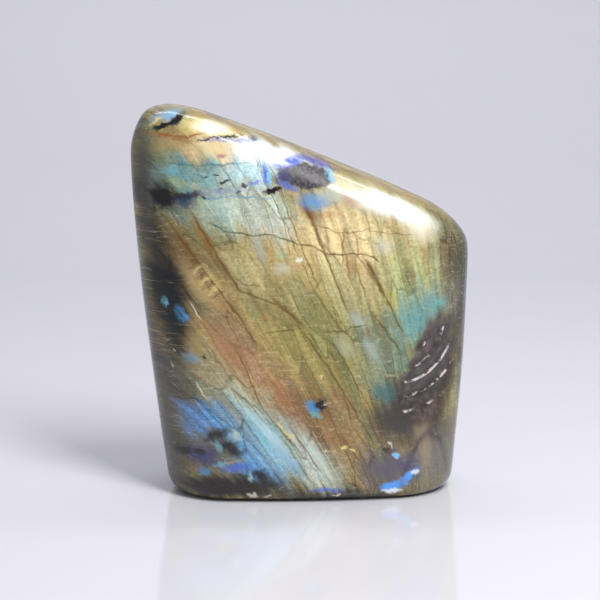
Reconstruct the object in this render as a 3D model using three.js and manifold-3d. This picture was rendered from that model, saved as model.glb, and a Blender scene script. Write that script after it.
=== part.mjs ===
// A polished labradorite free-form: one natural stone, ground to gently bowed faces that run into each other
// through wide rounded edges, standing on its flat cut base. A conchoidal break, left as it fractured, scars
// its front right edge with arc-shaped ledges.
// Millimetres and degrees, +Z up, the display face towards -Y, origin in the middle of the base.

import * as THREE from "three";
import { mergeVertices } from "three/addons/utils/BufferGeometryUtils.js";
import Module from "manifold-3d";

const wasm = await Module();
wasm.setup();

// Ground faces. heading is the way a face looks, counted from +X (right) towards +Y (back), and rise is how far
// it looks up. at is a point on the face. round is how far from the face its edges start to turn over. bowAcross
// and bowUp are the radii of the face's own gentle bow, level and up the face.
const groundFaces = {
  front: { heading: 270, rise: 3, at: [-6, -22, 20], round: 14, bowAcross: 240, bowUp: 1500 },
  back: { heading: 90, rise: 4, at: [0, 22.5, 20], round: 15, bowAcross: 260, bowUp: 1300 },
  left: { heading: 180, rise: -7.1, at: [-43.4, 0, 45], round: 16, bowAcross: 110, bowUp: 2300 },
  right: { heading: 0, rise: -4.2, at: [53.5, 0, 40], round: 15, bowAcross: 90, bowUp: 1700 },
  top: { heading: 0, rise: 68.4, at: [5.4, 0, 104.6], round: 8, bowAcross: 110, bowUp: 1080 },
  shoulder: { heading: 180, rise: 59, at: [-38, 0, 125.6], round: 13, bowAcross: 110, bowUp: 400 },
};
const edgeFullness = 1.91; // 2 is a plain elliptical edge, and a higher power eases the edge into its faces

// The base is sawn flat at z = 0, and its edge is only broken by a small rounding.
const baseRound = 4.5;
const bodyRound = 13; // the faces' usual rounding, which turns their blend into a distance for the base edge

// Grinding by hand leaves slow waves on the faces.
const waveHeight = 0.12;
const waveLength = 46;

// The break leaves the polish as a thin flake scar that runs deeper downwards. Its ledges are arcs about the
// strike point, and past the last ledge its floor curves out again.
const breakHeading = 304;
const breakRise = -6;
const breakBehind = new THREE.Vector3(39.5, -8, 40); // the middle of the rounding that the break took off
const breakDepth = 1.8; // below the rounded edge, at the middle of the break
const strikeOffset = { across: -9.5, up: 13 }; // from the middle of the break, seen from outside
const ledgeSpacing = 4.4;
const ledgeHeight = 0.7;
const ledgeCount = 5;
const ledgeSegments = 96;
const rimReach = 9; // of the floor's last curve, past the ledges
const rimRise = 4;
const rimSteps = 5;
const cutterThickness = 30;

// The facets, counted along the width, depth and height
const facetCounts = { width: 30, depth: 14, height: 34 };
const facetBox = { width: 105, depth: 46, height: 120 }; // shares the facets out over the faces
const edgeCrowding = 0.62; // 0 spaces the facets evenly, and 1 crowds them at the edges
const core = new THREE.Vector3(0, 0, 56); // an inner point that sees the whole surface

const toRadians = THREE.MathUtils.degToRad;

// The unit vector that looks along a heading and a rise
function looking(heading, rise) {
  const level = Math.cos(toRadians(rise));
  return new THREE.Vector3(
    level * Math.cos(toRadians(heading)),
    level * Math.sin(toRadians(heading)),
    Math.sin(toRadians(rise)),
  );
}

// Each face with its normal and its two tangents worked out
const faces = Object.values(groundFaces).map((face) => {
  const normal = looking(face.heading, face.rise);
  const across = looking(face.heading + 90, 0);
  const up = new THREE.Vector3().crossVectors(normal, across);
  return { ...face, normal, across, up, at: new THREE.Vector3(...face.at) };
});

const blend = (a, b) => Math.pow(Math.pow(a, edgeFullness) + Math.pow(b, edgeFullness), 1 / edgeFullness);
const turned = (distance, round) => Math.max(1 + distance / round, 0);

// How far a point is outside one bowed face
function outsideFace(point, face) {
  const offset = point.clone().sub(face.at);
  const across = offset.dot(face.across);
  const up = offset.dot(face.up);
  return offset.dot(face.normal) + across ** 2 / (2 * face.bowAcross) + up ** 2 / (2 * face.bowUp);
}

// Below zero inside the ground stone, zero on its surface, above zero outside
function outsideStone(point) {
  const rounded = faces.reduce((sum, face) => blend(sum, turned(outsideFace(point, face), face.round)), 0);
  const phase = (2 * Math.PI) / waveLength;
  const wave = waveHeight * Math.sin(phase * (point.x + point.y)) * Math.sin(phase * (point.z - point.y));
  const outsideBody = (rounded - 1) * bodyRound + wave;
  return blend(turned(outsideBody, baseRound), turned(-point.z, baseRound)) - 1;
}

// The surface point that an inner point sees in a direction, by halving
function surfaceFrom(inner, direction) {
  let near = 0;
  let far = 200;
  while (far - near > 1e-7) {
    const middle = (near + far) / 2;
    if (outsideStone(inner.clone().addScaledVector(direction, middle)) < 0) near = middle;
    else far = middle;
  }
  return inner.clone().addScaledVector(direction, near);
}

// A coordinate of the facet box, moved towards the box's edges
function crowd(value, size) {
  const quarterTurn = (Math.PI / 2) * edgeCrowding;
  return ((size / 2) * Math.sin((value / (size / 2)) * quarterTurn)) / Math.sin(quarterTurn);
}

// The ground form: a box of facets whose corners are sent out from the core to the surface
function groundForm() {
  const { width, depth, height } = facetBox;
  const box = new THREE.BoxGeometry(
    width, depth, height, facetCounts.width, facetCounts.depth, facetCounts.height,
  );
  box.deleteAttribute("normal");
  box.deleteAttribute("uv");
  const corners = box.getAttribute("position");
  const corner = new THREE.Vector3();
  for (let i = 0; i < corners.count; i++) {
    corner.fromBufferAttribute(corners, i);
    corner.set(crowd(corner.x, width), crowd(corner.y, depth), crowd(corner.z, height));
    const found = surfaceFrom(core, corner.normalize());
    corners.setXYZ(i, found.x, found.y, Math.abs(found.z) < 1e-4 ? 0 : found.z);
  }
  return box;
}

// What the break took away: a round block whose inner face has a ledge for every ring about the strike point
function breakCutter() {
  const profile = [new THREE.Vector2(0, 0)];
  for (let ledge = 1; ledge <= ledgeCount; ledge++) {
    const foot = ledge * ledgeSpacing;
    profile.push(new THREE.Vector2(foot - ledgeSpacing * 0.45, -ledgeHeight * 0.75));
    profile.push(new THREE.Vector2(foot - ledgeSpacing * 0.15, -ledgeHeight));
    profile.push(new THREE.Vector2(foot, 0));
  }
  const reach = ledgeCount * ledgeSpacing;
  for (let step = 1; step <= rimSteps; step++) {
    const along = step / rimSteps;
    profile.push(new THREE.Vector2(reach + rimReach * along, rimRise * along ** 2));
  }
  profile.push(new THREE.Vector2(reach + rimReach, cutterThickness), new THREE.Vector2(0, cutterThickness));
  const cutter = new THREE.LatheGeometry(profile, ledgeSegments);
  const normal = looking(breakHeading, breakRise);
  const across = looking(breakHeading + 90, 0);
  const up = new THREE.Vector3().crossVectors(normal, across);
  const place = surfaceFrom(breakBehind, looking(breakHeading, 0))
    .addScaledVector(normal, -breakDepth)
    .addScaledVector(across, strikeOffset.across)
    .addScaledVector(up, strikeOffset.up);
  cutter.applyMatrix4(new THREE.Matrix4().makeBasis(up, normal, across).setPosition(place));
  return cutter;
}

function solidOf(geometry) {
  geometry.deleteAttribute("normal");
  geometry.deleteAttribute("uv");
  const merged = mergeVertices(geometry, 1e-4);
  return new wasm.Manifold(new wasm.Mesh({
    numProp: 3,
    vertProperties: merged.getAttribute("position").array,
    triVerts: new Uint32Array(merged.index.array),
  }));
}

function geometryOf(solid) {
  const mesh = solid.getMesh();
  return new THREE.BufferGeometry()
    .setAttribute("position", new THREE.BufferAttribute(mesh.vertProperties, mesh.numProp))
    .setIndex(new THREE.BufferAttribute(mesh.triVerts, 1));
}

const ground = solidOf(groundForm());
const cutter = solidOf(breakCutter());
const stoneGeometry = geometryOf(ground.subtract(cutter));
stoneGeometry.computeBoundingBox();
const { min, max } = stoneGeometry.boundingBox;
stoneGeometry.translate(-(min.x + max.x) / 2, -(min.y + max.y) / 2, -min.z);
stoneGeometry.computeVertexNormals();

const stone = new THREE.Mesh(
  stoneGeometry,
  new THREE.MeshStandardMaterial({ color: 0x8f8b62, roughness: 0.12, metalness: 0 }),
);
stone.name = "stone";

const freeForm = new THREE.Group();
freeForm.add(stone);

export default freeForm;
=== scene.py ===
import math

import bmesh
import bpy
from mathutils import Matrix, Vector


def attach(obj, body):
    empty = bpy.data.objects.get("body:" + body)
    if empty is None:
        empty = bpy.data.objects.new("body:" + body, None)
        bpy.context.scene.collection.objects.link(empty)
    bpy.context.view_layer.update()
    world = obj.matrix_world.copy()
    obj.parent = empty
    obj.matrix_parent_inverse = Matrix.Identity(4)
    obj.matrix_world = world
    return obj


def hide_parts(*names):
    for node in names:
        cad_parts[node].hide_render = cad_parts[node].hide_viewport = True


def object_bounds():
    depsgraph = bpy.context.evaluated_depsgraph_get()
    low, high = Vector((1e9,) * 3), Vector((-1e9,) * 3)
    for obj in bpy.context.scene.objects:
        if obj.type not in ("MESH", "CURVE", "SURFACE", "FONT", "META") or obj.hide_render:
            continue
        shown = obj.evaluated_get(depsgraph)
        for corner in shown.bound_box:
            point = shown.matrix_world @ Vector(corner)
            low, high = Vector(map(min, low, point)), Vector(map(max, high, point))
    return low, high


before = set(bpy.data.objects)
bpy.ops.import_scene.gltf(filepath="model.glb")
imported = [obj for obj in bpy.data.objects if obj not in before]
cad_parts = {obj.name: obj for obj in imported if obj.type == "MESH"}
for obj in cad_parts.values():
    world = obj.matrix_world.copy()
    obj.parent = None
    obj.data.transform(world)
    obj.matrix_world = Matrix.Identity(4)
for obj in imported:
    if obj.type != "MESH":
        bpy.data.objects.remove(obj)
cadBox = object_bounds()
scene = bpy.context.scene
scene.view_settings.view_transform = "Standard"  # keeps the stone's flash colours saturated
mm = 0.001


def toLinear(hexColour):
    # sRGB hex to the linear colour that sockets take
    parts = [int(hexColour[i:i + 2], 16) / 255 for i in (1, 3, 5)]
    return tuple(p / 12.92 if p <= 0.04045 else ((p + 0.055) / 1.055) ** 2.4 for p in parts) + (1.0,)


def addNode(tree, kind, settings=None, links=None):
    # settings are the node's own properties, its inputs or its colour stops,
    # and links go from an output to an input
    node = tree.nodes.new(kind)
    for key, value in (settings or {}).items():
        if key == "stops":
            ramp = node.color_ramp.elements
            ramp.remove(ramp[1])
            ramp[0].position, ramp[0].color = value[0][0], toLinear(value[0][1])
            for at, hue in value[1:]:
                ramp.new(at).color = toLinear(hue)
        elif isinstance(key, str) and hasattr(node, key):
            setattr(node, key, value)
        else:
            node.inputs[key].default_value = value
    for key, source in (links or {}).items():
        tree.links.new(source, node.inputs[key])
    return node


# Camera: the photograph's view, a little above level and square to the display face
shot = {"lens": 85, "distance": 0.437, "elevation": 9.0, "aim": (-0.00024, 0.0, 0.058)}
cameraData = bpy.data.cameras.new("camera")
cameraData.lens = shot["lens"]
cameraData.sensor_width = 36
cameraData.clip_start = 0.01
camera = bpy.data.objects.new("camera", cameraData)
tilt = math.radians(shot["elevation"])
backwards = Vector((0, -math.cos(tilt), math.sin(tilt)))
camera.location = Vector(shot["aim"]) + backwards * shot["distance"]
camera.rotation_mode = "QUATERNION"
camera.rotation_quaternion = (-backwards).to_track_quat("-Z", "Y")
scene.collection.objects.link(camera)
scene.camera = camera
print("camera set")


# Stage: a pale board that sweeps up into the wall behind
stage = {"width": 6.0, "front": -2.5, "bend": 0.45, "radius": 0.9, "height": 2.6, "steps": 24}


def makeStage():
    profile = [(stage["front"], 0.0)]
    for i in range(stage["steps"] + 1):
        turn = math.pi / 2 * i / stage["steps"]
        profile.append(
            (stage["bend"] + stage["radius"] * math.sin(turn), stage["radius"] * (1 - math.cos(turn))),
        )
    profile.append((stage["bend"] + stage["radius"], stage["height"]))
    sweep = bmesh.new()
    rows = [[sweep.verts.new((side * stage["width"] / 2, y, z)) for side in (-1, 1)] for y, z in profile]
    for low, high in zip(rows, rows[1:]):
        sweep.faces.new((low[0], low[1], high[1], high[0])).smooth = True
    mesh = bpy.data.meshes.new("floor")
    sweep.to_mesh(mesh)
    sweep.free()
    floor = bpy.data.objects.new("floor", mesh)
    scene.collection.objects.link(floor)
    return floor


def lacquerBoard():
    # White lacquered board, sprayed and polished: even, pale and a little cool, with a soft mirror
    material = bpy.data.materials.new("lacquerBoard")
    material.use_nodes = True
    shader = material.node_tree.nodes["Principled BSDF"]
    shader.inputs["Base Color"].default_value = toLinear("#dedde3")
    shader.inputs["Roughness"].default_value = 0.1
    shader.inputs["IOR"].default_value = 1.6
    return material


floor = makeStage()
floor.data.materials.append(lacquerBoard())
print("stage set")


# Lights: pale room light, a long soft box above the stone's right shoulder, and a wash on the wall
studio = {
    "roomColour": "#dcdde8", "roomStrength": 0.45,
    "softBox": {
        "at": (0.229, -0.312, 0.569), "size": (0.18, 0.45), "watts": 4.2, "towards": (0.025, -0.012, 0.095),
    },
    "wallWash": {"at": (0.0, 0.45, 1.5), "size": (2.0, 0.3), "watts": 12.0, "towards": (0.0, 1.35, 0.6)},
}
world = bpy.data.worlds.new("room")
world.use_nodes = True
world.node_tree.nodes["Background"].inputs["Color"].default_value = toLinear(studio["roomColour"])
world.node_tree.nodes["Background"].inputs["Strength"].default_value = studio["roomStrength"]
scene.world = world
for name in ("softBox", "wallWash"):
    lamp = bpy.data.lights.new(name, "AREA")
    lamp.shape = "RECTANGLE"
    lamp.size, lamp.size_y = studio[name]["size"]
    lamp.energy = studio[name]["watts"]
    lampObject = bpy.data.objects.new(name, lamp)
    lampObject.location = studio[name]["at"]
    aim = Vector(studio[name]["towards"]) - Vector(studio[name]["at"])
    lampObject.rotation_mode = "QUATERNION"
    lampObject.rotation_quaternion = aim.to_track_quat("-Z", "Y")
    scene.collection.objects.link(lampObject)
print("lights set")


# Stone: a fine skin thrown from the stone's core onto the CAD solid, eased where it is polished
# and roughened in the break on the front right edge
stoneSkin = {
    "cells": (136, 62, 156),  # along the width, depth and height, for cells of about 0.75 mm
    "core": (0.0, 0.0, 56 * mm),
    "easing": 16,
    "strike": (32.4 * mm, -19.5 * mm, 53.1 * mm),  # where the break was struck, in its own plane
    "breakNormal": (0.556, -0.824, -0.105),
    "ledgeSpacing": 4.4 * mm,
    "ledgeHeight": 0.7 * mm,
    "ledgeProfile": ((0.0, 0.0), (0.55, 0.75), (0.85, 1.0), (1.0, 0.0)),  # across one ledge, as a share
    "ledgeReach": 22 * mm,
    "rimReach": 9 * mm,
    "rimRise": 4 * mm,
    "floorFit": 0.07 * mm,  # a point this near the break's floor belongs to it
    "grain": 0.14 * mm,
    "grainSize": 2.4 * mm,
}


def skinTree(material):
    tree = bpy.data.node_groups.new("stoneSkin", "GeometryNodeTree")
    sockets = {}
    for name, kind in (
        ("Solid", "NodeSocketGeometry"), ("Core", "NodeSocketVector"), ("Box", "NodeSocketVector"),
        ("Easing", "NodeSocketInt"), ("Strike", "NodeSocketVector"), ("Break normal", "NodeSocketVector"),
        ("Grain", "NodeSocketFloat"),
    ):
        sockets[name] = tree.interface.new_socket(name=name, in_out="INPUT", socket_type=kind).identifier
    tree.interface.new_socket(name="Stone", in_out="OUTPUT", socket_type="NodeSocketGeometry")
    given = addNode(tree, "NodeGroupInput").outputs
    width, depth, height = stoneSkin["cells"]
    grid = addNode(
        tree, "GeometryNodeMeshCube",
        {"Vertices X": width + 1, "Vertices Y": depth + 1, "Vertices Z": height + 1},
        {"Size": given["Box"]},
    )
    place = addNode(tree, "GeometryNodeInputPosition")
    found = addNode(
        tree, "GeometryNodeRaycast", {"Ray Length": 1.0},
        {"Target Geometry": given["Solid"], "Source Position": given["Core"],
         "Ray Direction": place.outputs[0]},
    )
    thrown = addNode(
        tree, "GeometryNodeSetPosition", {},
        {"Geometry": grid.outputs["Mesh"], "Position": found.outputs["Hit Position"]},
    )
    # how far a point stands above the break's own floor, with its ledges and the rim past them
    away = addNode(
        tree, "ShaderNodeVectorMath", {"operation": "SUBTRACT"}, {0: place.outputs[0], 1: given["Strike"]},
    )
    above = addNode(
        tree, "ShaderNodeVectorMath", {"operation": "DOT_PRODUCT"},
        {0: away.outputs[0], 1: given["Break normal"]},
    )
    level = addNode(
        tree, "ShaderNodeVectorMath", {"operation": "PROJECT"},
        {0: away.outputs[0], 1: given["Break normal"]},
    )
    flat = addNode(
        tree, "ShaderNodeVectorMath", {"operation": "DISTANCE"}, {0: away.outputs[0], 1: level.outputs[0]},
    )
    ledges = addNode(
        tree, "ShaderNodeMath", {"operation": "DIVIDE", 1: stoneSkin["ledgeSpacing"]},
        {0: flat.outputs["Value"]},
    )
    share = addNode(tree, "ShaderNodeMath", {"operation": "FRACT"}, {0: ledges.outputs[0]})
    dip = addNode(tree, "ShaderNodeFloatCurve", {}, {"Value": share.outputs[0]})
    curve = dip.mapping.curves[0]
    for at, dipShare in stoneSkin["ledgeProfile"][1:-1]:
        curve.points.new(at, dipShare)
    curve.points[-1].location = stoneSkin["ledgeProfile"][-1]
    for point in curve.points:
        point.handle_type = "VECTOR"
    dip.mapping.update()
    onLedges = addNode(
        tree, "ShaderNodeMath", {"operation": "LESS_THAN", 1: stoneSkin["ledgeReach"]},
        {0: flat.outputs["Value"]},
    )
    dipHere = addNode(
        tree, "ShaderNodeMath", {"operation": "MULTIPLY"}, {0: dip.outputs[0], 1: onLedges.outputs[0]},
    )
    pastLedges = addNode(
        tree, "ShaderNodeMapRange",
        {"From Min": stoneSkin["ledgeReach"], "From Max": stoneSkin["ledgeReach"] + stoneSkin["rimReach"]},
        {"Value": flat.outputs["Value"]},
    )
    rim = addNode(tree, "ShaderNodeMath", {"operation": "POWER", 1: 2.0}, {0: pastLedges.outputs[0]})
    overRim = addNode(
        tree, "ShaderNodeMath", {"operation": "MULTIPLY_ADD", 1: -stoneSkin["rimRise"]},
        {0: rim.outputs[0], 2: above.outputs["Value"]},
    )
    gap = addNode(
        tree, "ShaderNodeMath", {"operation": "MULTIPLY_ADD", 1: stoneSkin["ledgeHeight"]},
        {0: dipHere.outputs[0], 2: overRim.outputs[0]},
    )
    offFloor = addNode(tree, "ShaderNodeMath", {"operation": "ABSOLUTE"}, {0: gap.outputs[0]})
    inBreak = addNode(
        tree, "ShaderNodeMapRange",
        {"From Min": 2 * stoneSkin["floorFit"], "From Max": stoneSkin["floorFit"]},
        {"Value": offFloor.outputs[0]},
    )
    scar = addNode(
        tree, "GeometryNodeBlurAttribute", {"data_type": "FLOAT", "Iterations": 3},
        {"Value": inBreak.outputs[0]},
    )
    marked = addNode(
        tree, "GeometryNodeStoreNamedAttribute", {"data_type": "FLOAT", "domain": "POINT", "Name": "scar"},
        {"Geometry": thrown.outputs[0], "Value": scar.outputs[0]},
    )
    # the polish eases the solid's facets away, and what that takes off the roundings is given back
    scarHere = addNode(tree, "GeometryNodeInputNamedAttribute", {"data_type": "FLOAT", "Name": "scar"})
    polish = addNode(
        tree, "ShaderNodeMapRange", {"From Max": 0.5, "To Min": 1.0, "To Max": 0.02},
        {"Value": scarHere.outputs[0]},
    )
    eased = addNode(
        tree, "GeometryNodeBlurAttribute", {"data_type": "FLOAT_VECTOR"},
        {"Value": place.outputs[0], "Iterations": given["Easing"], "Weight": polish.outputs[0]},
    )
    lost = addNode(
        tree, "ShaderNodeVectorMath", {"operation": "SUBTRACT"}, {0: place.outputs[0], 1: eased.outputs[0]},
    )
    giveBack = addNode(
        tree, "GeometryNodeBlurAttribute", {"data_type": "FLOAT_VECTOR"},
        {"Value": lost.outputs[0], "Iterations": given["Easing"], "Weight": polish.outputs[0]},
    )
    whereTo = addNode(
        tree, "ShaderNodeVectorMath", {"operation": "ADD"}, {0: eased.outputs[0], 1: giveBack.outputs[0]},
    )
    smooth = addNode(
        tree, "GeometryNodeSetPosition", {},
        {"Geometry": marked.outputs[0], "Position": whereTo.outputs[0]},
    )
    # hackly grain on the fracture, at its own size and finer
    noise = addNode(
        tree, "ShaderNodeTexNoise", {"Scale": 1 / stoneSkin["grainSize"], "Detail": 4.0, "Roughness": 0.62},
        {"Vector": place.outputs[0]},
    )
    lift = addNode(tree, "ShaderNodeMath", {"operation": "SUBTRACT", 1: 0.5}, {0: noise.outputs[0]})
    inScar = addNode(
        tree, "ShaderNodeMath", {"operation": "MULTIPLY"}, {0: lift.outputs[0], 1: scarHere.outputs[0]},
    )
    amount = addNode(
        tree, "ShaderNodeMath", {"operation": "MULTIPLY"}, {0: inScar.outputs[0], 1: given["Grain"]},
    )
    facing = addNode(tree, "GeometryNodeInputNormal")
    push = addNode(
        tree, "ShaderNodeVectorMath", {"operation": "SCALE"},
        {0: facing.outputs[0], "Scale": amount.outputs[0]},
    )
    rough = addNode(
        tree, "GeometryNodeSetPosition", {}, {"Geometry": smooth.outputs[0], "Offset": push.outputs[0]},
    )
    shaded = addNode(tree, "GeometryNodeSetShadeSmooth", {}, {0: rough.outputs[0]})
    whole = addNode(tree, "GeometryNodeRealizeInstances", {}, {0: shaded.outputs[0]})
    finished = addNode(tree, "GeometryNodeSetMaterial", {"Material": material}, {0: whole.outputs[0]})
    addNode(tree, "NodeGroupOutput", {}, {0: finished.outputs[0]})
    return tree, sockets


def makeStone(material):
    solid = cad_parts["stone"].data.copy()
    solid.materials.clear()
    joined = bmesh.new()
    joined.from_mesh(solid)
    bmesh.ops.remove_doubles(joined, verts=joined.verts, dist=0.001 * mm)
    joined.to_mesh(solid)
    joined.free()
    blank = bpy.data.objects.new("stoneBlank", solid)
    scene.collection.objects.link(blank)
    tree, sockets = skinTree(material)
    modifier = blank.modifiers.new("stoneSkin", "NODES")
    modifier.node_group = tree
    low, high = cadBox
    for name, value in (
        ("Core", stoneSkin["core"]), ("Box", tuple(high - low)), ("Easing", stoneSkin["easing"]),
        ("Strike", stoneSkin["strike"]), ("Break normal", stoneSkin["breakNormal"]),
        ("Grain", stoneSkin["grain"]),
    ):
        modifier[sockets[name]] = value
    ready = blank.evaluated_get(bpy.context.evaluated_depsgraph_get())
    mesh = bpy.data.meshes.new_from_object(ready)
    bpy.data.objects.remove(blank)
    mesh.name = "labradoriteStone"
    stone = bpy.data.objects.new("labradorite_stone", mesh)
    scene.collection.objects.link(stone)
    return stone


# The stone's colours, and the cream and honey of its painted highlights
hues = {
    "olive": "#9c9160", "gold": "#ab9560", "paleGold": "#d9c78e", "paintedGlowHoney": "#ecd487", "straw": "#ead88c",
    "paintedHighlightCream": "#fffadf", "ivory": "#f4efdc", "apricot": "#ecd9a6", "peach": "#ead29e", "paleTan": "#b6a878",
    "ribGold": "#c3aa76", "ribBrown": "#86714a", "amber": "#96682c", "sienna": "#8f6d42", "rust": "#98592f",
    "copper": "#ad8b66", "rose": "#ab7a55", "blush": "#d9ab8e", "tan": "#c2a77f",
    "khaki": "#a38d5e", "ochre": "#9b8358", "bark": "#6b4c22", "umber": "#231d1b", "ink": "#171518",
    "inkGreen": "#171c1e", "darkRim": "#38322a", "dusk": "#544d49", "taupe": "#544e46", "corner": "#6c6754",
    "moss": "#8a8550", "mossDark": "#57521f", "mossGold": "#b3a84a", "sageGold": "#908b55",
    "sage": "#a8b07c",
    "paleSage": "#bec3a4", "pine": "#4a6348", "greyGreen": "#788b77", "lichen": "#93927a",
    "mint": "#a8d8b8",
    "greenGrey": "#6d7a68", "greyTeal": "#76877d", "teal": "#729f9e", "deepTeal": "#3d7477",
    "seafoam": "#67b3ac",
    "turquoise": "#74a1a4", "brightTurquoise": "#74bac8", "aqua": "#a3c3c2", "paleAqua": "#b7cec0",
    "paleMint": "#d4e2d3", "ice": "#f6feff", "iceBlue": "#cdeef3", "cyan": "#8cc2d4",
    "glintCyan": "#b6fff4",
    "skyBright": "#8fd4ff", "sky": "#7fb4dc", "skyBlue": "#5f9fd8", "blue": "#558fc9", "azure": "#4f8fc0",
    "steelBlue": "#6f9fb8", "flashBlue": "#5ca8ff", "royal": "#2850cc", "royalSoft": "#4a6ad0",
    "navy": "#1f3358",
    "indigo": "#3f4178", "lilac": "#8c96b8", "orchid": "#b06f8c", "greyViolet": "#635d68",
    "plum": "#463d39",
    "ash": "#5c5f5b", "mist": "#cfd2c2", "paleStripe": "#bccdc4", "stoneGrey": "#79756b",
    "taupePale": "#a8977d",
    "baseGrey": "#302d29", "cornerGrey": "#85837a", "greyRim": "#524f4b",
}

# The flash on the display face. A mark is an ellipse: its middle (x, z) and half sizes, long and wide, in mm,
# its tilt down to the right in degrees, its colour, its strength, and how soft its edge is
flashZones = (
    (16, 76, 28, 15, 20, "peach", 1, 0.9),
    (2, 65, 18, 13, 50, "paleGold", 0.85, 1),
    (4, 50, 23, 14, 52, "sageGold", 0.9, 0.9),
    (-29, 70, 21, 10, 55, "ribBrown", 0.95, 0.9),
    (-15, 71, 13, 8.5, 57, "paleTan", 0.9, 0.9),
    (32, 66, 15, 12, 65, "sage", 0.9, 0.9),
    (35.5, 56, 12, 7.6, -38, "teal", 1, 0.85),
    (26, 43, 14, 9.5, 60, "greyGreen", 0.95, 0.9),
    (-12, 39, 32, 7.2, 50, "copper", 0.95, 0.75),
    (6.5, 26, 14, 8.5, 45, "sienna", 0.85, 0.9),
    (-38.5, 37, 17, 7.5, 78, "ash", 0.95, 0.9),
    (-25, 36.5, 13, 7, 48, "lichen", 0.9, 0.9),
    (-15, 29.5, 12, 5, 48, "paleSage", 0.9, 0.9),
    (-12, 19, 16, 8, 48, "cyan", 0.95, 0.9),
    (-28, 25, 12, 5.6, 8, "blue", 0.95, 0.9),
    (-14, 12, 12, 5.6, 38, "skyBlue", 0.95, 0.9),
    (-30, 15, 13, 6.4, 5, "dusk", 0.85, 0.9),
    (-41.5, 16, 17, 6.5, 82, "taupe", 0.95, 0.9),
    (3.5, 13, 15, 6, 52, "paleStripe", 0.95, 0.9),
    (15, 18, 16, 7.5, 48, "ochre", 0.95, 0.9),
    (27.5, 10.5, 11, 7, 0, "greyViolet", 0.95, 0.9),
    (31, 28, 13, 9, -40, "plum", 1, 0.8),
    (38, 22, 8, 7, 75, "plum", 0.8, 0.9),
    (40, 9.5, 10, 8, 80, "stoneGrey", 0.9, 0.9),
    (46.5, 13, 11, 5, 82, "corner", 0.9, 0.9),
    (45.5, 73, 16, 7.5, 80, "corner", 0.95, 0.9),
    (47.5, 58, 12, 4, 88, "stoneGrey", 0.9, 0.9),
    (-44.5, 81, 13, 5.4, 77, "darkRim", 0.9, 0.9),
    (-39.5, 62, 18, 8, 76, "inkGreen", 1, 0.75),
    (-37, 53, 8, 5, 60, "inkGreen", 0.9, 0.85),
    (-46.5, 47, 22, 3.6, 82, "greyRim", 0.9, 0.9),
    (51, 48, 44, 4.6, 87, "darkRim", 0.95, 0.9),
    (-42, 117, 10, 5, 0, "cornerGrey", 0.9, 0.9),
    (-37, 107.6, 15, 6.4, 4, "gold", 1, 0.85),
    (-45, 101, 6.5, 10, 0, "greenGrey", 0.9, 0.9),
    (-25, 105.2, 13, 5, 0, "apricot", 1, 0.85),
    (-31, 97.4, 17, 5.8, 0, "turquoise", 1, 0.8),
    (-19.5, 97.5, 12, 6, -4, "aqua", 0.9, 0.9),
    (-11, 103, 12, 5.2, 10, "ice", 1, 0.8),
    (-13, 97.5, 8, 4.2, 0, "iceBlue", 0.9, 0.9),
    (-19, 87, 15, 7, 6, "paleAqua", 1, 0.85),
    (-9.5, 85.5, 10, 7.5, 40, "paleMint", 0.85, 0.9),
    (-42.5, 91.5, 7, 5.2, 0, "ink", 0.9, 0.8),
    (-38, 86.5, 7, 3.6, 0, "greyTeal", 0.75, 0.9),
    (-22, 5, 21, 4.8, 0, "umber", 1, 0.75),
    (12, 0.5, 24, 4.6, 0, "baseGrey", 0.95, 0.9),
)
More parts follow.
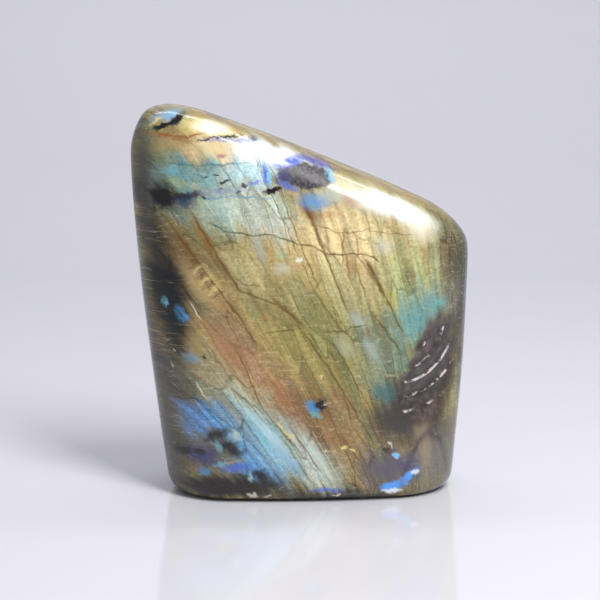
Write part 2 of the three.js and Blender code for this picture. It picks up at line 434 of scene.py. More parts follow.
flashBands = (
    # These three bands are a painted highlight from the soft box along the right part of the top bevel, white
    # and cream over the pale flash
    (20, 90.5, 17, 4.2, 20, "paintedHighlightCream", 0.75, 0.9),
    (27.5, 87.5, 13, 3, 21, "ice", 1, 0.7),
    (35, 82.5, 6, 4, 40, "paintedHighlightCream", 0.75, 0.9),
    # These two are a painted highlight: the yellow-white glow on the left of the top bevel
    (-27, 111.2, 9, 3.2, 12, "paintedGlowHoney", 0.85, 0.9),
    (-26.4, 111.4, 5.6, 2.2, 10, "paintedHighlightCream", 1, 0.7),
    (-9.5, 103.9, 10.5, 3.2, 14, "ice", 1, 0.7),
    (-39, 115.4, 6.5, 1.5, -28, "sky", 0.75, 0.9),
    (-25.4, 105.2, 7.5, 3.4, 2, "apricot", 0.85, 0.85),
    (-40, 105.6, 6, 2.6, 0, "gold", 0.6, 0.9),
    (-47, 96, 22, 3, 88, "greyRim", 0.8, 0.9),
    (-37, 108.4, 9, 1.2, 3, "rust", 0.5, 0.9),
    (-30.5, 106, 6, 1.4, 62, "amber", 0.35, 0.9),
    (2.2, 87.2, 6, 1.6, 63, "bark", 0.75, 0.85),
    (6, 85.8, 6, 1.6, 8, "rust", 0.35, 0.9),
    (14, 90.4, 4, 2.4, 20, "rose", 0.5, 0.9),
    (20.8, 69.4, 5, 1.5, 62, "bark", 0.65, 0.85),
    (16, 70.5, 3, 2, 60, "amber", 0.45, 0.9),
    (26.5, 61, 4, 2.2, 60, "mossGold", 0.45, 0.9),
    (-28.5, 79.5, 8, 1.6, 57, "amber", 0.65, 0.9),
    (-24, 71.5, 9, 1.5, 56, "bark", 0.55, 0.9),
    (-31, 66, 9, 2.4, 55, "ribGold", 0.65, 0.9),
    (-25.5, 66.5, 6, 1.6, 55, "straw", 0.4, 0.9),
    (-33.5, 76, 8, 1.6, 55, "bark", 0.45, 0.9),
    (-13, 60, 9, 2, 52, "bark", 0.4, 0.9),
    (-22, 48.5, 10, 3.8, 48, "rose", 0.5, 0.9),
    (-4.5, 31, 9, 2.4, 54, "rust", 0.45, 0.9),
    (5.5, 30, 7, 5, 20, "bark", 0.3, 0.9),
    (12, 20.5, 6, 1.4, 50, "rust", 0.25, 0.9),
    (34.5, 55.5, 7, 4.4, -38, "teal", 0.4, 0.9),
    (32.5, 27, 12, 9, -40, "plum", 0.95, 0.7),
    (38.5, 22, 9, 7, 70, "plum", 0.85, 0.8),
    (36.5, 21.5, 3, 4.5, 20, "taupePale", 0.5, 0.9),
    (42, 10.5, 7, 9, 0, "stoneGrey", 0.65, 0.9),
    (37.6, 14.5, 2.2, 7, 0, "taupePale", 0.55, 0.9),
    (-23, 5, 17.5, 3.8, 0, "umber", 0.95, 0.75),
    (12, 1, 20, 3, 0, "baseGrey", 0.7, 0.9),
    (-42.5, 20, 16, 5, 82, "taupe", 0.75, 0.9),
    (-40, 62, 12, 4.6, 76, "inkGreen", 0.75, 0.9),
    (27.5, 9.5, 9, 5.4, 0, "greyViolet", 0.9, 0.85),
    (24.5, 76.5, 3, 2.4, 0, "mist", 0.55, 0.9),
    (-5.6, 70.3, 2.4, 2.4, 0, "mist", 0.5, 0.9),
    (-1.3, 70.6, 1.6, 1.2, 0, "blush", 0.5, 0.9),
    (-12.5, 76, 5, 1.4, 72, "aqua", 0.45, 0.9),
    (-5.9, 74.7, 1.8, 1.4, 0, "mint", 0.4, 0.9),
    (17, 55, 3.6, 2.2, 40, "paleStripe", 0.5, 0.9),
    (13, 47, 5, 2.4, 52, "paleSage", 0.45, 0.9),
    (21, 46.3, 5, 2.2, 60, "paleStripe", 0.4, 0.9),
    (24.5, 33.5, 4.4, 3, 30, "deepTeal", 0.75, 0.9),
    (-31, 47.5, 4.4, 2.6, 55, "khaki", 0.75, 0.9),
    (-32.5, 43.5, 3.6, 1.6, 20, "steelBlue", 0.55, 0.9),
    (-12, 24, 9, 1.6, 46, "iceBlue", 0.45, 0.9),
    (-6.5, 17.5, 9, 1.6, 50, "iceBlue", 0.5, 0.9),
    (4.5, 14.5, 9, 1.8, 52, "paleMint", 0.55, 0.9),
    (-3.5, 13, 8, 1.8, 50, "sky", 0.55, 0.9),
    (-30, 14.6, 5.4, 4, 10, "indigo", 0.8, 0.9),
    (-25.5, 22, 7, 1.4, -10, "taupe", 0.6, 0.9),
    (32.5, 12, 4, 3, 0, "indigo", 0.5, 0.9),
)

# Fractures inside the stone: their points (x, z) in mm, half their width in mm, their colour and strength
fractures = (
    (((-26.5, 83.5), (-21.6, 81.1), (-12.9, 79.9), (-8, 80.2), (0.1, 77.2)), 0.31, "pine", 0.85),
    (((0.1, 77.2), (3.7, 76.9), (7.5, 74.5), (13.4, 74.2), (19.3, 74.5), (23.7, 71.6)), 0.31, "bark", 0.8),
    (((4.6, 82.9), (11.9, 80.5), (19.3, 81.4), (25.2, 80.5), (32.5, 79.9)), 0.23, "bark", 0.55),
    (((1, 90), (3.6, 83.5), (6.6, 76)), 0.58, "bark", 0.85),
    (((6.6, 76), (10.5, 65.7), (13.4, 58.2)), 0.35, "bark", 0.7),
    (((-6.2, 93.2), (-0.1, 77.5), (5.4, 64.2)), 0.31, "mossDark", 0.65),
    (((-9.1, 93.2), (-4.2, 82), (0.1, 72.5), (3.7, 64.2)), 0.23, "mossDark", 0.6),
    (((-11.5, 90.9), (-7.2, 79), (-4.3, 72.5)), 0.23, "moss", 0.6),
    (((-17.3, 89.4), (-14.4, 80.5)), 0.2, "moss", 0.55),
    (((11.3, 80.5), (13.4, 73.7), (14.6, 65.7)), 0.39, "amber", 0.65),
    (((19.3, 72.5), (22.2, 67.1), (25.2, 61.2)), 0.62, "bark", 0.85),
    (((25.2, 61.2), (27.2, 57.6), (30.2, 50.8)), 0.39, "mossDark", 0.75),
    (((16.4, 70.1), (19.5, 61), (22.2, 52.3)), 0.27, "mossDark", 0.5),
    (((30, 70), (34, 62), (37, 55)), 0.23, "pine", 0.45),
    (((-38.7, 83.5), (-27.8, 68.6), (-21.9, 61.2), (-16.6, 53.8), (-13.1, 47.9)), 0.43, "bark", 0.8),
    (((-32.2, 86.4), (-25.8, 76), (-20.5, 67.1), (-17.5, 63.6)), 0.47, "bark", 0.8),
    (((-17.5, 63.6), (-11, 61.2), (-6.5, 59.5), (-1.5, 55.6)), 0.39, "bark", 0.75),
    (((-43.5, 77), (-36.5, 67), (-30, 58.5)), 0.47, "umber", 0.6),
    (((-8.5, 61.8), (-3.2, 57.5), (0.5, 53.5)), 0.62, "bark", 0.7),
    (((-9.2, 51.5), (-1, 52.6)), 0.31, "mossDark", 0.7),
    (((7.5, 51.7), (13.4, 52), (19.3, 53.8)), 0.31, "mossDark", 0.7),
    (((0.1, 52.3), (7.5, 41.9), (13.6, 31.6), (18.1, 24.2), (21.7, 18.2)), 0.39, "mossDark", 0.75),
    (((9, 49.3), (15, 39), (19.6, 30.1), (22.6, 24.2)), 0.35, "mossDark", 0.7),
    (((22.2, 55.3), (26.7, 49.3), (29.6, 45.8)), 0.39, "mossDark", 0.75),
    (((12.1, 34.5), (15.7, 22.7), (20, 16)), 0.31, "bark", 0.6),
    (((9.1, 25.6), (12.5, 17), (16.6, 9.3)), 0.31, "bark", 0.6),
    (((-2.8, 22.7), (2, 15.5), (6.1, 9.3)), 0.35, "bark", 0.65),
    (((-4.9, 19.7), (-1, 13), (3.1, 6.4)), 0.27, "pine", 0.6),
    (((-19, 46.4), (-14, 35), (-11.2, 28.6), (0.1, 15.2)), 0.35, "bark", 0.7),
    (((-27.8, 47.9), (-17.8, 33), (-10.3, 24.2)), 0.27, "bark", 0.55),
    (((-35.7, 37.5), (-29.8, 30.1), (-22.3, 22.7)), 0.31, "pine", 0.65),
    (((-38.1, 34.5), (-33, 32), (-28.3, 30.1)), 0.2, "inkGreen", 0.55),
    (((-38.5, 31), (-33, 31.6), (-29, 31.2)), 0.2, "inkGreen", 0.5),
    (((-17.8, 27.1), (-15.7, 12.3)), 0.23, "navy", 0.5),
    (((-19.3, 67.7), (-17, 65.8), (-11.5, 65.1)), 0.27, "bark", 0.6),
    (((-13, 105.5), (-11.7, 100)), 0.2, "steelBlue", 0.6),
    (((-18.9, 102), (-16.9, 96.9)), 0.2, "steelBlue", 0.6),
    (((-29.9, 90.4), (-19.5, 91.2), (-8.5, 90.8)), 0.31, "steelBlue", 0.7),
    (((-40, 101), (-30, 100.3), (-17, 101)), 0.35, "deepTeal", 0.6),
    (((-41.4, 109.4), (-37, 108.9), (-33.3, 108.5), (-29, 109.6)), 0.35, "rust", 0.8),
    (((-36.5, 114.4), (-31.5, 114.4), (-26.3, 112.6)), 0.2, "ivory", 0.75),
    (((-32.6, 60), (-29.6, 55.4)), 0.2, "ivory", 0.8),
    (((-31.2, 36.4), (-28.3, 31.6)), 0.2, "ivory", 0.7),
)

# Inclusions, bright flakes and a few painted glints with crisp edges, as marks
inclusions = (
    (-40.2, 112, 4.4, 0.9, -22, "ink", 1, 0.5),
    (-36.4, 114, 3, 1.5, -32, "ink", 1, 0.5),
    (-42.6, 113, 2.2, 0.6, -35, "straw", 0.7, 0.7),
    (-22.5, 108.6, 5.5, 0.55, -4, "ink", 0.95, 0.6),
    (-28.4, 107.6, 2, 0.45, -14, "ink", 0.9, 0.6),
    (-20.5, 107.6, 8, 0.7, 1, "royal", 0.55, 0.9),
    (-14.2, 108.2, 1.4, 1.2, 40, "navy", 0.7, 0.8),
    (-23.4, 103.4, 1.5, 0.7, 0, "orchid", 0.75, 0.8),
    (-38, 99, 2.6, 1.6, 0, "brightTurquoise", 0.5, 0.9),
    (-24.8, 97.6, 1.1, 0.3, 5, "ink", 0.95, 0.6),
    (-22.3, 95.6, 2, 0.4, -22, "ink", 0.95, 0.6),
    (-16.7, 94.6, 1, 0.6, -30, "ink", 0.9, 0.6),
    (-27.7, 97.1, 1, 0.26, -15, "ink", 0.8, 0.6),
    (-23.6, 93.6, 0.7, 0.45, 0, "ink", 0.85, 0.6),
    (-28.3, 91, 1.2, 0.5, 10, "ink", 0.9, 0.6),
    (-18, 92.4, 0.9, 0.4, -10, "ink", 0.85, 0.6),
    (-36.5, 95.5, 4, 1.6, 20, "mossGold", 0.4, 0.9),
    (-41, 91, 3.8, 3.9, 0, "ink", 0.97, 0.5),
    (-33.5, 91.4, 6, 1.4, -6, "ink", 0.95, 0.6),
    (-34.2, 89.6, 3.6, 2, 0, "navy", 0.8, 0.8),
    (-22.5, 92.8, 9, 1.3, -5, "lilac", 0.55, 0.9),
    (-10.3, 98, 3.8, 1.2, 80, "royal", 0.8, 0.8),
    (-9.3, 97, 3, 0.6, 80, "skyBright", 0.8, 0.7),
    (-13.6, 95.2, 2.6, 0.8, -8, "royalSoft", 0.6, 0.8),
    (-8.3, 93, 2.9, 0.9, -12, "ink", 1, 0.5),
    (-2.6, 101.4, 6, 1.5, -14, "royal", 0.85, 0.8),
    (5.4, 101, 5.5, 1.2, 24, "royal", 0.85, 0.8),
    (8.8, 97.4, 2.4, 1, 60, "skyBright", 0.75, 0.8),
    (-5.4, 97, 2.6, 2.4, 0, "indigo", 0.8, 0.8),
    (-3.6, 94.2, 3.6, 1.1, 22, "royalSoft", 0.75, 0.8),
    (3.9, 90, 5.2, 2.6, 5, "skyBlue", 0.8, 0.9),
    (9, 91.4, 4.4, 2.2, 0, "paleStripe", 0.6, 0.9),
    (-0.6, 72.8, 1, 0.8, 0, "ivory", 0.9, 0.6),
    (40.2, 50.6, 1.4, 1.4, 0, "glintCyan", 0.9, 0.6),
    (41.5, 59, 3, 1.4, -20, "seafoam", 0.5, 0.9),
    (-40.8, 60.2, 1.1, 1.6, 0, "seafoam", 0.6, 0.8),
    (-40, 59.4, 0.6, 1, 0, "skyBright", 0.6, 0.8),
    (-35.4, 56.6, 3, 1.7, 60, "azure", 0.75, 0.9),
    (-34, 55.6, 1.6, 1.2, 20, "skyBlue", 0.6, 0.9),
    (-36.2, 57.2, 2, 0.3, 45, "ink", 0.7, 0.8),
    (-35, 55.6, 2.2, 0.3, 40, "ink", 0.7, 0.8),
    (-33.6, 57.6, 1.8, 0.3, 60, "inkGreen", 0.6, 0.8),
    (-28.6, 44.3, 1, 0.6, 0, "ink", 0.85, 0.7),
    (-37.6, 46, 0.7, 0.35, 30, "ivory", 0.6, 0.7),
    (-38.2, 41.2, 1, 0.5, 60, "ivory", 0.5, 0.7),
    (-31.5, 71.6, 2.6, 0.3, -38, "bark", 0.6, 0.8),
    (-29, 68.6, 2.8, 0.3, -36, "bark", 0.65, 0.8),
    (-26.6, 65.6, 2.8, 0.3, -38, "bark", 0.65, 0.8),
    (-24.2, 62.6, 2.6, 0.3, -34, "bark", 0.6, 0.8),
    (-30.4, 70, 2, 0.8, -36, "straw", 0.5, 0.9),
    (-28, 66.9, 2.2, 0.8, -38, "straw", 0.6, 0.9),
    (-25.6, 63.9, 2, 0.8, -36, "straw", 0.55, 0.9),
    (-35.7, 15.2, 3.4, 1.8, 0, "ink", 0.85, 0.7),
    (-30.4, 15.6, 2, 1.2, 0, "umber", 0.9, 0.7),
    (-25.3, 20.6, 4, 1.7, -20, "umber", 0.95, 0.6),
    (-21, 17, 4.6, 2, 35, "umber", 0.95, 0.6),
    (-24.7, 17.6, 2.6, 0.9, 60, "brightTurquoise", 0.5, 0.9),
    (-23.8, 12, 2.6, 1, -10, "brightTurquoise", 0.6, 0.8),
    (-20, 12.8, 3.4, 0.6, -10, "tan", 0.35, 0.9),
    (-19.4, 21, 1.8, 1, 60, "mist", 0.7, 0.7),
    (-19, 11, 4.8, 1.5, -8, "royalSoft", 0.75, 0.8),
    (-28.9, 9.3, 2, 1.4, 0, "azure", 0.9, 0.7),
    (-12.4, 9, 3.2, 2, 20, "ink", 0.9, 0.7),
    (-15, 8.6, 2.2, 0.5, 85, "aqua", 0.7, 0.8),
    # a painted glint on a small chip at the base edge
    (-14.5, 2.4, 1.6, 0.9, 0, "ivory", 0.75, 0.6),
    (-9.6, 2, 1.6, 0.5, 0, "ivory", 0.5, 0.7),
    (3.4, 29.2, 2.6, 2, 60, "azure", 0.95, 0.6),
    (4.6, 26.8, 2, 0.6, 10, "seafoam", 0.85, 0.7),
    (6, 30, 2.2, 2, 0, "ink", 1, 0.5),
    (7.6, 30.2, 1.4, 0.5, -20, "tan", 0.9, 0.6),
    (12.8, 16.5, 1, 0.6, 10, "straw", 0.9, 0.6),
    (15.4, 16, 0.9, 0.5, 10, "straw", 0.9, 0.6),
    (7.5, 15.8, 0.6, 0.6, 0, "straw", 0.85, 0.6),
    (6.4, 38.1, 0.9, 0.5, -40, "straw", 0.8, 0.7),
    (-6, 23.5, 2, 0.6, 45, "straw", 0.7, 0.7),
    (-3.4, 20.6, 2.6, 0.6, 40, "straw", 0.65, 0.7),
    (8, 4, 5, 0.8, 0, "royalSoft", 0.75, 0.8),
    (11, 2.4, 1.6, 0.45, 0, "ivory", 0.7, 0.6),
    (28, 4.6, 4.6, 1.6, -14, "flashBlue", 1, 0.6),
    (27.6, 3, 3.4, 0.8, 0, "ice", 1, 0.6),
    (32.4, 7.6, 3.6, 1.2, -40, "flashBlue", 0.95, 0.6),
    (34.4, 8.8, 1.2, 0.8, 0, "ice", 0.7, 0.7),
    (28.6, 13.8, 1.3, 0.9, 30, "skyBright", 0.85, 0.7),
    (25.6, 15.6, 1.8, 0.9, 30, "ink", 0.7, 0.8),
    (27, 17, 1.4, 0.4, 60, "ivory", 0.7, 0.7),
    (37.6, 30, 3, 2.6, 60, "khaki", 0.75, 0.8),
)

# The granular inclusion near the top, in mm and degrees
gravel = {"at": (1.6, 97.2), "half": (8.6, 3.7), "tilt": 8, "grit": 0.9}

# The stone's build, in mm
labradorite = {
    "lean": 0.7,  # of the lamellae towards the back, so they run on over the sides
    "fanFrom": (48, -88),  # the lamellae fan out from this point, far below the right side
    "fanReach": 160,
    "feather": 10.0,  # how far the flash runs along the lamellae at the edges of its zones
    "featherSize": (3.0, 1, 30.0),  # across the lamellae and along them, as the next sizes are
    "streakSize": (1.7, 1, 26.0),
    "panelSize": (4.2, 1, 17.0),
    "panelBend": (5.0, 1, 9.0),
    "flakeSize": (0.8, 1, 3.0),
    "levelSize": (11.0, 1, 2.0),
    "grainSize": 0.9,
    "cloudSize": 14,
    "bodySize": 26,
    "hackleSize": 2.6,
    "glintPatchSize": 5,  # of the stretches along a ledge whose lip carries a painted glint
    "glintLip": (3.5, 4.0),  # where a ledge's painted glint starts and is full, out from the ledge's foot
    "waver": 4.5,
    "waverSize": 9.0,
    "ripple": 0.9,
    "rippleSize": 3.0,
    "rag": 1.3,  # of the inclusions' edges
    "ragSize": 1.5,
    "ridgeTilt": 21.6,  # of the top edge
    "ridgeSize": (17, 4.5, 1.6),  # of the bands, along the bevel, across it and up
}


def fanOut(tree, face):
    # Lamella coordinates in mm: across the lamellae, and along them
    spot = addNode(tree, "ShaderNodeSeparateXYZ", {}, {0: face})
    fromX, fromZ = labradorite["fanFrom"]
    right = addNode(tree, "ShaderNodeMath", {"operation": "SUBTRACT", 1: fromX}, {0: spot.outputs["X"]})
    up = addNode(tree, "ShaderNodeMath", {"operation": "SUBTRACT", 1: fromZ}, {0: spot.outputs["Z"]})
    angle = addNode(
        tree, "ShaderNodeMath", {"operation": "ARCTAN2"}, {0: right.outputs[0], 1: up.outputs[0]},
    )
    across = addNode(
        tree, "ShaderNodeMath", {"operation": "MULTIPLY", 1: labradorite["fanReach"]},
        {0: angle.outputs[0]},
    )
    reach = addNode(tree, "ShaderNodeCombineXYZ", {}, {"X": right.outputs[0], "Z": up.outputs[0]})
    along = addNode(tree, "ShaderNodeVectorMath", {"operation": "LENGTH"}, {0: reach.outputs[0]})
    return addNode(
        tree, "ShaderNodeCombineXYZ", {}, {"X": across.outputs[0], "Z": along.outputs["Value"]},
    ).outputs[0]


def paintMarks(tree, face, colour, marks):
    # Each mark waits for the colour before it, by a share too small to see, so that Cycles works the marks
    # out one after the other and not all at once, which its shader stack can't hold
    for x, z, long, wide, tilt, hue, strength, soft in marks:
        outer = 1 + soft / 2
        waiting = addNode(
            tree, "ShaderNodeVectorMath", {"operation": "MULTIPLY_ADD", 1: (1e-6, 1e-6, 1e-6)},
            {0: colour, 2: face},
        )
        spot = addNode(
            tree, "ShaderNodeMapping",
            {"vector_type": "TEXTURE", "Location": (x, 0, z), "Rotation": (0, math.radians(tilt), 0),
             "Scale": (long * outer, 1, wide * outer)}, {"Vector": waiting.outputs[0]},
        )
        inside = addNode(
            tree, "ShaderNodeTexGradient", {"gradient_type": "SPHERICAL"}, {0: spot.outputs[0]},
        )
        mask = addNode(
            tree, "ShaderNodeMapRange",
            {"interpolation_type": "SMOOTHSTEP", "From Max": 1 - (1 - soft) / outer, "To Max": strength},
            {"Value": inside.outputs["Fac"]},
        )
        colour = addNode(
            tree, "ShaderNodeMix", {"data_type": "RGBA", 7: toLinear(hues[hue])},
            {0: mask.outputs[0], 6: colour},
        ).outputs[2]
    return colour


def fractureMarks():
    # Each stretch of a fracture is a thin mark that runs a little past its points
    marks = []
    for points, width, hue, strength in fractures:
        for (x0, z0), (x1, z1) in zip(points, points[1:]):
            long = math.hypot(x1 - x0, z1 - z0) * 0.62
            tilt = math.degrees(math.atan2(z0 - z1, x1 - x0))
            marks.append(((x0 + x1) / 2, (z0 + z1) / 2, long, width, tilt, hue, strength, 0.7))
    return marks


def polishedLabradorite():
    # Labradorite, a feldspar, ground and polished: a grey-brown body whose thin lamellae throw patches of
    # gold, green and blue from under a glassy surface, crossed by fractures and dark inclusions. Where it
    # broke, it is dark, hackly and duller.
    material = bpy.data.materials.new("polishedLabradorite")
    material.use_nodes = True
    tree = material.node_tree
    shader = tree.nodes["Principled BSDF"]
    place = addNode(tree, "ShaderNodeTexCoord")
    inMm = addNode(
        tree, "ShaderNodeVectorMath", {"operation": "SCALE", "Scale": 1 / mm}, {0: place.outputs["Object"]},
    ).outputs[0]
    face = addNode(
        tree, "ShaderNodeVectorMath", {"operation": "MULTIPLY", 1: (1, 0, 1)}, {0: inMm},
    ).outputs[0]
    normal = addNode(tree, "ShaderNodeSeparateXYZ", {}, {0: place.outputs["Normal"]})
    spot = addNode(tree, "ShaderNodeSeparateXYZ", {}, {0: inMm})
    leaned = addNode(
        tree, "ShaderNodeMath", {"operation": "MULTIPLY_ADD", 1: labradorite["lean"]},
        {0: spot.outputs["Y"], 2: spot.outputs["X"]},
    )
    leanFace = addNode(
        tree, "ShaderNodeCombineXYZ", {}, {"X": leaned.outputs[0], "Z": spot.outputs["Z"]},
    ).outputs[0]
    fan = fanOut(tree, leanFace)

    # how the flash wavers: along the lamellae, and freely
    featherSteps, streakSteps, panelSteps, flakeSteps = (
        addNode(
            tree, "ShaderNodeVectorMath", {"operation": "DIVIDE", 1: labradorite[size]}, {0: fan},
        ).outputs[0]
        for size in ("featherSize", "streakSize", "panelSize", "flakeSize")
    )
    feather = addNode(
        tree, "ShaderNodeTexNoise", {"Scale": 1.0, "Detail": 3.0, "Roughness": 0.6},
        {"Vector": featherSteps},
    )
    run = addNode(
        tree, "ShaderNodeMapRange",
        {"clamp": False, "To Min": -labradorite["feather"], "To Max": labradorite["feather"]},
        {"Value": feather.outputs[0]},
    )
    alongTilt = addNode(
        tree, "ShaderNodeVectorMath", {"operation": "SCALE", 0: (0.5, 0, -0.87)}, {"Scale": run.outputs[0]},
    )
    featherFace = addNode(
        tree, "ShaderNodeVectorMath", {"operation": "ADD"}, {0: face, 1: alongTilt.outputs[0]},
    )
    waver = addNode(
        tree, "ShaderNodeTexNoise", {"Scale": 1 / labradorite["waverSize"], "Detail": 3.0},
        {"Vector": face},
    )
    waverBy = labradorite["waver"] * 2
    waverOff = addNode(
        tree, "ShaderNodeVectorMath",
        {"operation": "MULTIPLY_ADD", 1: (waverBy, 0, waverBy), 2: (-waverBy / 2, 0, -waverBy / 2)},
        {0: waver.outputs["Color"]},
    )
    zoneFace = addNode(
        tree, "ShaderNodeVectorMath", {"operation": "ADD"},
        {0: featherFace.outputs[0], 1: waverOff.outputs[0]},
    ).outputs[0]
    ripple = addNode(
        tree, "ShaderNodeTexNoise", {"Scale": 1 / labradorite["rippleSize"], "Detail": 3.0},
        {"Vector": face},
    )
    rippleBy = labradorite["ripple"] * 2
    rippleOff = addNode(
        tree, "ShaderNodeVectorMath",
        {"operation": "MULTIPLY_ADD", 1: (rippleBy, 0, rippleBy), 2: (-rippleBy / 2, 0, -rippleBy / 2)},
        {0: ripple.outputs["Color"]},
    )
    rippled = addNode(
        tree, "ShaderNodeVectorMath", {"operation": "ADD"}, {0: face, 1: rippleOff.outputs[0]},
    )
    bandFace, markFace = (
        addNode(
            tree, "ShaderNodeMix", {"data_type": "VECTOR", 0: share}, {4: rippled.outputs[0], 5: zoneFace},
        ).outputs[1] for share in (0.25, 0.06)
    )

    rag = addNode(
        tree, "ShaderNodeTexNoise", {"Scale": 1 / labradorite["ragSize"], "Detail": 4.0, "Roughness": 0.65},
        {"Vector": face},
    )
    ragBy = labradorite["rag"] * 2
    ragOff = addNode(
        tree, "ShaderNodeVectorMath",
        {"operation": "MULTIPLY_ADD", 1: (ragBy, 0, ragBy), 2: (-ragBy / 2, 0, -ragBy / 2)},
        {0: rag.outputs["Color"]},
    )
    raggedFace = addNode(
        tree, "ShaderNodeVectorMath", {"operation": "ADD"}, {0: markFace, 1: ragOff.outputs[0]},
    ).outputs[0]

    # what the lamellae do to any colour: fine streaks, panels between fractures, and grain
    streak = addNode(
        tree, "ShaderNodeTexNoise", {"Scale": 1.0, "Detail": 4.0, "Roughness": 0.6},
        {"Vector": streakSteps},
    )
    streakTone = addNode(
        tree, "ShaderNodeMapRange", {"From Min": 0.28, "From Max": 0.72, "To Min": 0.66, "To Max": 1.26},
        {"Value": streak.outputs[0]},
    )
    bend = addNode(
        tree, "ShaderNodeVectorMath", {"operation": "DIVIDE", 1: labradorite["panelBend"]},
        {0: rippleOff.outputs[0]},
    )
    bent = addNode(tree, "ShaderNodeVectorMath", {"operation": "ADD"}, {0: panelSteps, 1: bend.outputs[0]})
    panels = addNode(
        tree, "ShaderNodeTexVoronoi", {"feature": "F1", "Scale": 1.0}, {"Vector": bent.outputs[0]},
    )
    panelEdge = addNode(
        tree, "ShaderNodeTexVoronoi", {"feature": "DISTANCE_TO_EDGE", "Scale": 1.0},
        {"Vector": bent.outputs[0]},
    )
    panelShade = addNode(tree, "ShaderNodeSeparateXYZ", {}, {0: panels.outputs["Color"]})
    panelTone = addNode(
        tree, "ShaderNodeMapRange", {"To Min": 0.82, "To Max": 1.17}, {"Value": panelShade.outputs["X"]},
    )
    grain = addNode(
        tree, "ShaderNodeTexNoise",
        {"Scale": 1 / labradorite["grainSize"], "Detail": 3.0, "Roughness": 0.7}, {"Vector": inMm},
    )
    grainTone = addNode(
        tree, "ShaderNodeMapRange", {"From Min": 0.3, "From Max": 0.7, "To Min": 0.74, "To Max": 1.24},
        {"Value": grain.outputs[0]},
    )
    tone = addNode(
        tree, "ShaderNodeMath", {"operation": "MULTIPLY"},
        {0: streakTone.outputs[0], 1: panelTone.outputs[0]},
    )
    tone = addNode(
        tree, "ShaderNodeMath", {"operation": "MULTIPLY"}, {0: tone.outputs[0], 1: grainTone.outputs[0]},
    )
    toneColour = addNode(
        tree, "ShaderNodeCombineXYZ", {},
        {"X": tone.outputs[0], "Y": tone.outputs[0], "Z": tone.outputs[0]},
    ).outputs[0]
    warmCool = addNode(
        tree, "ShaderNodeMix", {"data_type": "RGBA", 6: toLinear("#d8b79c"), 7: toLinear("#a8c8c4")},
        {0: panelShade.outputs["Y"]},
    ).outputs[2]
    cloud = addNode(
        tree, "ShaderNodeTexNoise", {"Scale": 1 / labradorite["cloudSize"], "Detail": 2.0},
        {"Vector": inMm},
    )
    crackled = addNode(
        tree, "ShaderNodeMapRange",
        {"interpolation_type": "SMOOTHSTEP", "From Min": 0.045, "From Max": 0.008},
        {"Value": panelEdge.outputs["Distance"]},
    )
    crackledHere = addNode(
        tree, "ShaderNodeMapRange", {"From Min": 0.4, "From Max": 0.6, "To Min": 0.05, "To Max": 0.6},
        {"Value": cloud.outputs[0]},
    )
    crackle = addNode(
        tree, "ShaderNodeMath", {"operation": "MULTIPLY"},
        {0: crackled.outputs[0], 1: crackledHere.outputs[0]},
    )
    # near-level ripples where a fracture meets the polish, some dark and some catching light
    levelSteps = addNode(
        tree, "ShaderNodeVectorMath", {"operation": "DIVIDE", 1: labradorite["levelSize"]}, {0: leanFace},
    )
    layers = addNode(
        tree, "ShaderNodeTexNoise", {"Scale": 1.0, "Detail": 2.0, "Roughness": 0.5},
        {"Vector": levelSteps.outputs[0]},
    )
    darkLevel = addNode(
        tree, "ShaderNodeMath", {"operation": "COMPARE", 1: 0.47, 2: 0.008}, {0: layers.outputs[0]},
    )
    paleLevel = addNode(
        tree, "ShaderNodeMath", {"operation": "COMPARE", 1: 0.56, 2: 0.007}, {0: layers.outputs[0]},
    )
    # pale flakes painted as sparkling glints
    flakes = addNode(
        tree, "ShaderNodeTexVoronoi", {"feature": "F1", "Scale": 1.0}, {"Vector": flakeSteps},
    )
    flakeShade = addNode(tree, "ShaderNodeSeparateXYZ", {}, {0: flakes.outputs["Color"]})
    flakeSome = addNode(
        tree, "ShaderNodeMath", {"operation": "GREATER_THAN", 1: 0.9}, {0: flakeShade.outputs["X"]},
    )
    flakeSpot = addNode(
        tree, "ShaderNodeMapRange", {"From Min": 0.3, "From Max": 0.15},
        {"Value": flakes.outputs["Distance"]},
    )
    flakeGlint = addNode(
        tree, "ShaderNodeMath", {"operation": "MULTIPLY"},
        {0: flakeSome.outputs[0], 1: flakeSpot.outputs[0]},
    )

    def withLamellae(colour):
        # the lamellae's streaks, panels and crackle over a colour, with pale flakes painted as glints
        for blend, amount, other in (
            ("MULTIPLY", 1.0, toneColour), ("SOFT_LIGHT", 0.45, warmCool),
        ):
            colour = addNode(
                tree, "ShaderNodeMix", {"data_type": "RGBA", "blend_type": blend, 0: amount},
                {6: colour, 7: other},
            ).outputs[2]
        for blend, hue, amount, mask in (
            ("MULTIPLY", "#7d6232", 0.9, crackle), ("MULTIPLY", "#9c8a5c", 0.25, darkLevel),
            ("SCREEN", "#a89e78", 0.5, paleLevel), ("SCREEN", "#b5a878", 0.4, flakeGlint),
        ):
            part = addNode(
                tree, "ShaderNodeMath", {"operation": "MULTIPLY", 1: amount}, {0: mask.outputs[0]},
            )
            colour = addNode(
                tree, "ShaderNodeMix", {"data_type": "RGBA", "blend_type": blend, 7: toLinear(hue)},
                {0: part.outputs[0], 6: colour},
            ).outputs[2]
        return colour

